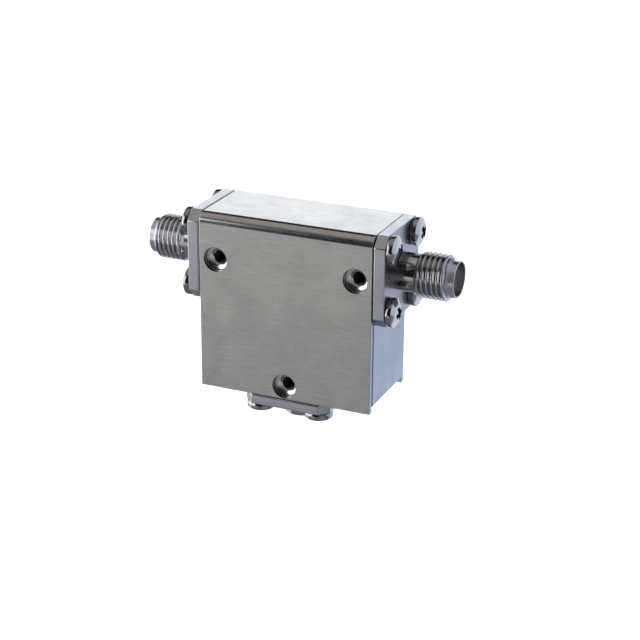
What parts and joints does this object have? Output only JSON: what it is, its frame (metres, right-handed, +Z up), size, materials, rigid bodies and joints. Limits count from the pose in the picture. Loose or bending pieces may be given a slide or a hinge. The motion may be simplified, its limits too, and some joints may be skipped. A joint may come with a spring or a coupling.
{
  "type": "cryogenic isolator",
  "caption": "Coaxial microwave isolator: flat block in a folded metal shield, threaded connectors on opposite sides, a capped load below and fixing holes in the front face.",
  "frame": {"origin": "on the shield's front face, midway between the two upper fixing holes, at the height of the port axis", "axes": "+X along the port axis towards the right-hand port, -Y out of the front face, +Z up, away from the load"},
  "size_m": [0.045, 0.0127, 0.0292],
  "materials": {
    "shield": "brushed lengthways, satin",
    "block": "fine satin, plated",
    "connector_steel": "turned, passivated, half bright",
    "screw_steel": "bright",
    "insulator": "white fluoropolymer, matt",
    "contact_gold": "gold plated, bright",
    "copper_strip": "rolled copper, satin",
    "ferrite": "ground, dark grey",
    "dielectric": "ground, off white",
    "pole_steel": "ground and plated",
    "magnet": "nickel plated",
    "resistor": "matt, black"
  },
  "bodies": {
    "root": {"shield_cover": "shield", "junction_block": "block", "centre_conductor": "copper_strip", "left_port_shell": "connector_steel", "right_port_shell": "connector_steel", "load_shell": "connector_steel", "left_port_insulator": "insulator", "right_port_insulator": "insulator", "load_insulator": "insulator", "left_port_contact": "contact_gold", "right_port_contact": "contact_gold", "load_pin": "contact_gold", "left_port_screws": "screw_steel", "right_port_screws": "screw_steel", "load_screws": "screw_steel", "load_resistor": "resistor", "front_ferrite": "ferrite", "front_ferrite_ring": "dielectric", "front_ground_plate": "pole_steel", "front_magnet": "magnet", "front_pole_cap": "pole_steel", "back_ferrite": "ferrite", "back_ferrite_ring": "dielectric", "back_ground_plate": "pole_steel", "back_magnet": "magnet", "back_pole_cap": "pole_steel"}
  },
  "joints": []
}
